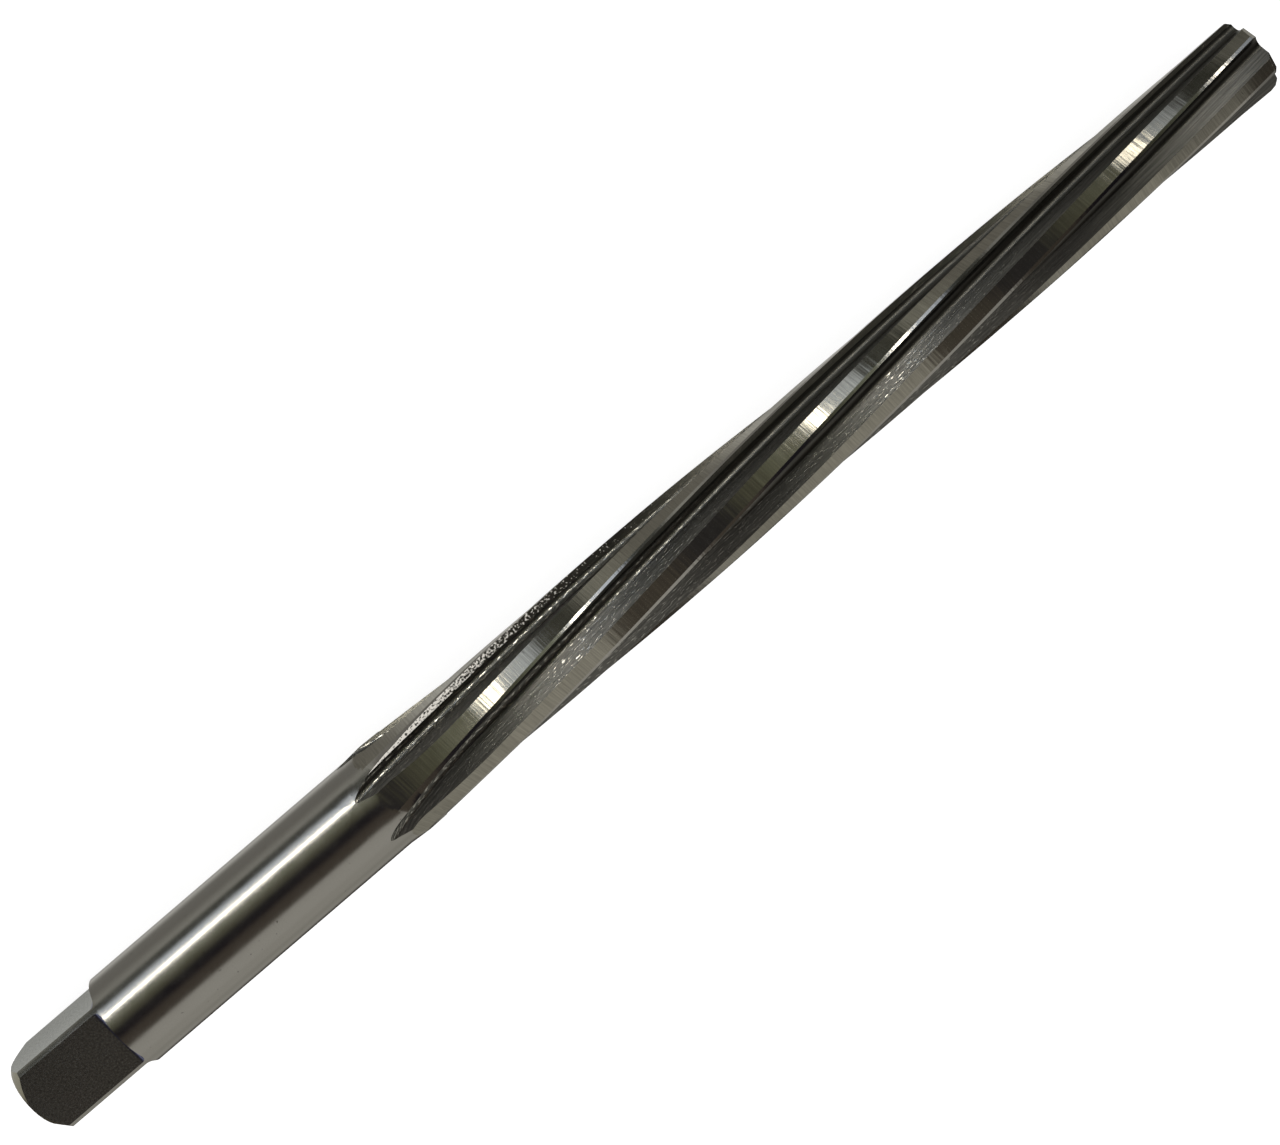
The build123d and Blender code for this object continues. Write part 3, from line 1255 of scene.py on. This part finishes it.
@dataclass(frozen=True)
class Studio:
    """Pale bench, soft lamp, and the walls and the strip lamp that the steel mirrors.

    Attributes:
        overhead: Strips of the arch over the tool.
        on_bench: Strips of the sheet beside and under the tool; the dark one under the axis is painted shade,
            the tool's contact shadow as the steel mirrors it.
        tube_angle: Angle of the strip lamp from straight up towards -Y, in degrees.
        tube_width: Its width in degrees.
        tube_colour: Its colour, sRGB hex.
        tube_strength: Its brightness.
        fade: Where arch and lamp begin to grow dim towards the tip and where they are dimmest, in metres.
        dim: Share of their brightness that is left there.
        arch_radius: Radius of the arch, in metres.
        arch_length: Its length in metres.
        arch_half: Angle from straight up to either end of the arch, in degrees.
        arch_grid: Rows along the arch, and nodes in a row.
        tube_drop: Radius at which the strip lamp hangs, as a share of the arch's.
        bow: How far the overhead strips bend towards -Y at bow_reach from the middle, in degrees.
        bow_reach: Distance from the middle at which the bend ends, in metres.
        sheet_reach: How far the sheet of strips reaches to either side, in millimetres.
        sheet_fine: How far its close nodes reach.
        sheet_nodes: How many they are.
        sheet_lift: How far it floats above the bench, in millimetres.
        floor_size: Side of the bench top in metres.
        floor_slopes: Slopes that are tried for it: the least, the most and how many.
        paint_level: Share of light that its paint throws back.
        paint_glow: Light that it adds where it is seen, so that it is white there.
        world_level: Strength of the even light from all round.
        lamp_power: Power of the soft lamp in watts.
        lamp_size: Side of the lamp in metres.
        lamp_place: Place of the lamp in metres.
        lamp_target: Point that it faces.
    """

    overhead: tuple[Strip, ...] = (
        Strip(-100, "#a6a49f"),
        Strip(-86, "#cfcfc8", softness=22),
        Strip(-71, "#55574f", softness=7),
        Strip(-52.5, "#e6f0ff", 1.7, 3),
        Strip(-30, "#969a84", softness=4),
        Strip(-13, "#6f6f5c", softness=10),
        Strip(-1, "#2d2a31", softness=10),
        Strip(22, "#665e55", softness=12),
        Strip(49, "#e6e4de", softness=7),
    )
    on_bench: tuple[Strip, ...] = (
        Strip(-600, "#a6a49f"),
        Strip(-11, "#f6f5f0", softness=8),
        Strip(-7.8, "#c4c3be", softness=2),
        # Painted shade: the tool's contact shadow under the axis, as the steel mirrors it
        Strip(-1, "#38322b", softness=4),
        Strip(8, "#c6c4bc", softness=3),
        Strip(19, "#dcdad3", softness=8),
    )
    tube_angle: float = -35.3
    tube_width: float = 3.0
    tube_colour: str = "#fff8ea"
    tube_strength: float = 20.0
    fade: tuple[float, float] = (0.17, 0.38)
    dim: float = 0.42
    arch_radius: float = 0.6
    arch_length: float = 3.0
    arch_half: float = 100.0
    arch_grid: tuple[int, int] = (61, 401)
    tube_drop: float = 0.98
    bow: float = 8.0
    bow_reach: float = 0.3
    sheet_reach: float = 600.0
    sheet_fine: float = 30.0
    sheet_nodes: int = 241
    sheet_lift: float = 0.05
    floor_size: float = 6.0
    floor_slopes: tuple[float, float, int] = (-0.02, 0.03, 501)
    paint_level: float = 0.5
    paint_glow: float = 0.78
    world_level: float = 0.65
    lamp_power: float = 3.0
    lamp_size: float = 0.5
    lamp_place: tuple[float, float, float] = (0.07, -0.6, 0.7)
    lamp_target: tuple[float, float, float] = (0.07, 0.0, 0.0)

    def build(self, piece: bpy.types.Object) -> None:
        """Makes the world, the bench, what the steel mirrors, and the lamp.

        Args:
            piece: The tool, whose lowest points the bench touches.
        """
        self.world()
        slope, level = self.bench(piece)
        self.arch()
        self.sheet(slope, level)
        self.lamp()

    def background(self, tree: Tree) -> Socket:
        """One for rays from the camera, off metal and through glass, and nothing for those that only light.

        Args:
            tree: Node tree that asks.

        Returns:
            Socket with that number.
        """
        path = add_node(tree, "LightPath").node.outputs
        seen = add_node(tree, "Math", {0: path["Is Camera Ray"], 1: path["Is Glossy Ray"]}, operation="ADD")
        return add_node(
            tree, "Math", {0: seen, 1: path["Is Transmission Ray"]}, operation="ADD", use_clamp=True
        )

    def world(self) -> None:
        """White all round: strength 1 where it is seen, and an even soft light elsewhere."""
        world = bpy.data.worlds.new("white_studio")
        tree = empty_tree(world)
        strength = add_node(
            tree, "MapRange", {"Value": self.background(tree), "To Min": self.world_level, "To Max": 1.0}
        )
        sky = add_node(tree, "Background", {"Color": WHITE, "Strength": strength})
        add_node(tree, "OutputWorld", {"Surface": sky})
        bpy.context.scene.world = world

    def bench(self, piece: bpy.types.Object) -> tuple[float, float]:
        """A flat pale top that touches the tool's lowest points near both ends of the taper.

        Each slope has the height at which it first touches. The one that is highest under the tool's middle
        is taken.

        Args:
            piece: The tool that lies on it.

        Returns:
            Slope of the top along X, and its height at X = 0, in metres.
        """
        co = np.empty(len(piece.data.vertices) * 3)
        piece.data.vertices.foreach_get("co", co)
        co = co.reshape(-1, 3)
        slopes = np.linspace(*self.floor_slopes)
        levels = (co[:, 2][:, None] - slopes * co[:, :1]).min(0)
        best = np.argmax(levels + slopes * co[:, 0].mean())
        slope, level = slopes[best], levels[best]
        side = self.floor_size / 2
        x, y = np.array([-side, side, side, -side]), np.array([-side, -side, side, side])
        mesh = bpy.data.meshes.new("bench_top")
        mesh.from_pydata(np.c_[x, y, level + slope * x].tolist(), [], [(0, 1, 2, 3)])
        mesh.materials.append(self.bench_finish())
        bench = add_object("bench_top", mesh)
        LOG.info("%s: slope %.4f, %.2f mm under the axis at the tang", bench.name, slope, -level / MM)
        return slope, level

    def bench_finish(self) -> bpy.types.Material:
        """Matt paint that is white to the camera and keeps the tool's soft shadow.

        Returns:
            The material.
        """
        material = bpy.data.materials.new("matt_white_bench")
        tree = empty_tree(material)
        glow = add_node(tree, "Math", {0: self.background(tree), 1: self.paint_glow}, operation="MULTIPLY")
        paint = add_node(tree, "BsdfDiffuse", {"Color": (*[self.paint_level] * 3, 1.0)})
        shine = add_node(tree, "Emission", {"Color": WHITE, "Strength": glow})
        both = add_node(tree, "AddShader", {0: paint, 1: shine})
        add_node(tree, "OutputMaterial", {"Surface": both})
        return material

    def mirrored(self, name: str, points: np.ndarray, light: np.ndarray, kind: Glow) -> None:
        """A glowing sheet that is seen in metal only.

        Args:
            name: Name of the sheet.
            points: Its grid in metres, shape (rows, nodes, 3).
            light: Linear colour of the nodes, one for each column or for each of them.
            kind: Whether it is sampled as a wall or as a lamp.
        """
        rows, nodes = points.shape[:2]
        mesh = bpy.data.meshes.new(name)
        mesh.from_pydata(points.reshape(-1, 3).tolist(), [], grid_faces(rows, nodes).tolist())
        colours = np.ones((rows, nodes, 4))
        colours[..., :3] = light
        glow = mesh.attributes.new("glow", "FLOAT_COLOR", "POINT")
        glow.data.foreach_set("color", colours.ravel())
        material = bpy.data.materials.new(name)
        material.cycles.emission_sampling = kind.value
        tree = empty_tree(material)
        colour = add_node(tree, "Attribute", attribute_name="glow")
        shine = add_node(tree, "Emission", {"Color": colour, "Strength": 1.0})
        add_node(tree, "OutputMaterial", {"Surface": shine})
        mesh.materials.append(material)
        sheet = add_object(name, mesh)
        sheet.visible_camera = sheet.visible_diffuse = sheet.visible_shadow = False
        sheet.visible_transmission = sheet.visible_volume_scatter = False

    def arch(self) -> None:
        """The arch of strips, and the strip lamp under it."""
        angles = np.linspace(-self.arch_half, self.arch_half, self.arch_grid[1])
        self.pipe("studio_walls", angles, self.arch_radius, strip_light(self.overhead, angles), Glow.WALL)
        edges = self.tube_angle + np.array([-0.5, 0.5]) * self.tube_width
        light = np.multiply(linear_rgb(self.tube_colour), self.tube_strength)
        self.pipe("strip_lamp", edges, self.tube_drop * self.arch_radius, light, Glow.LAMP)

    def pipe(self, name: str, angles: np.ndarray, radius: float, light: np.ndarray, kind: Glow) -> None:
        """A mirrored piece of a pipe about the tool's axis.

        Its points are the radius times the sine and cosine of the angle from straight up. The angle grows
        with the square of the distance from the tool's middle, so the strips bow. The light dims by the fade.

        Args:
            name: Name of the sheet.
            angles: Angles of its nodes in degrees.
            radius: Radius in metres.
            light: Linear colour, one for all nodes or one for each angle.
            kind: Whether it is sampled as a wall or as a lamp.
        """
        x = np.linspace(-0.5, 0.5, self.arch_grid[0])[:, None] * self.arch_length
        bend = self.bow * (np.minimum(np.abs(x), self.bow_reach) / self.bow_reach) ** 2
        turn = np.radians(angles + bend)
        points = np.stack(np.broadcast_arrays(x, -np.sin(turn) * radius, np.cos(turn) * radius), -1)
        left = np.interp(x, self.fade, (1.0, self.dim))[..., None]
        self.mirrored(name, points, left * light, kind)

    def sheet(self, slope: float, level: float) -> None:
        """The sheet of strips on the bench, a hair above it, with the tool's contact shadow painted in as a
        dark strip.

        Args:
            slope: Slope of the bench along X.
            level: Height of the bench at X = 0.
        """
        fine = np.linspace(-self.sheet_fine, self.sheet_fine, self.sheet_nodes)
        across = np.concatenate([[-self.sheet_reach], fine, [self.sheet_reach]])
        x = np.array([[-0.5], [0.5]]) * self.arch_length
        height = level + slope * x + self.sheet_lift * MM
        points = np.stack(np.broadcast_arrays(x, -across * MM, height), -1)
        self.mirrored("bench_strips", points, strip_light(self.on_bench, across), Glow.WALL)

    def lamp(self) -> None:
        """A soft square lamp high on the -Y side, for what scatters light and for the shadow on the bench."""
        light = bpy.data.lights.new("soft_lamp", "AREA")
        light.energy = self.lamp_power
        light.size = self.lamp_size
        lamp = add_object("soft_lamp", light)
        lamp.location = self.lamp_place
        aim = Vector(self.lamp_target) - lamp.location
        lamp.rotation_euler = aim.to_track_quat("-Z", "Y").to_euler()
        lamp.visible_glossy = False


@dataclass(frozen=True)
class PhotoCamera:
    """Camera close above the tool, looking straight down, with the tool across the picture's diagonal.

    Attributes:
        place: Place in millimetres.
        focal_length: Focal length in millimetres.
        roll: Turn of the picture about the line of sight, in degrees.
        nod: Tilt about the picture's width, in degrees.
        swing: Tilt about the picture's height, in degrees.
        sensor_width: Width of the sensor in millimetres.
        nearest: Distance in metres before which nothing is drawn.
    """

    place: tuple[float, float, float] = (70.016, 0.0, 172.92)
    focal_length: float = 56.27
    roll: float = -40.589
    nod: float = -0.1185
    swing: float = 0.3516
    sensor_width: float = 36.0
    nearest: float = 0.01

    def build(self) -> None:
        """Makes the scene's camera."""
        data = bpy.data.cameras.new("photo_camera")
        data.sensor_fit = "HORIZONTAL"
        data.sensor_width = self.sensor_width
        data.lens = self.focal_length
        data.clip_start = self.nearest
        camera = add_object("photo_camera", data)
        turns = [
            Matrix.Rotation(math.radians(angle), 3, axis)
            for angle, axis in ((self.roll, "Z"), (self.swing, "Y"), (self.nod, "X"))
        ]
        into_picture = turns[0] @ turns[1] @ turns[2]
        flip = Matrix.Diagonal((1.0, -1.0, -1.0))
        world = (flip @ into_picture.transposed() @ flip).to_4x4()
        world.translation = Vector(self.place) * MM
        camera.matrix_world = world
        bpy.context.scene.camera = camera


def main() -> None:
    """Builds the tool, the studio and the camera."""
    logging.basicConfig(level=logging.INFO, format="%(name)s: %(message)s")
    bpy.context.scene.view_settings.view_transform = "Standard"
    piece = Reamer.from_frame().build()
    Studio().build(piece)
    PhotoCamera().build()


if __name__ == "__main__":
    main()
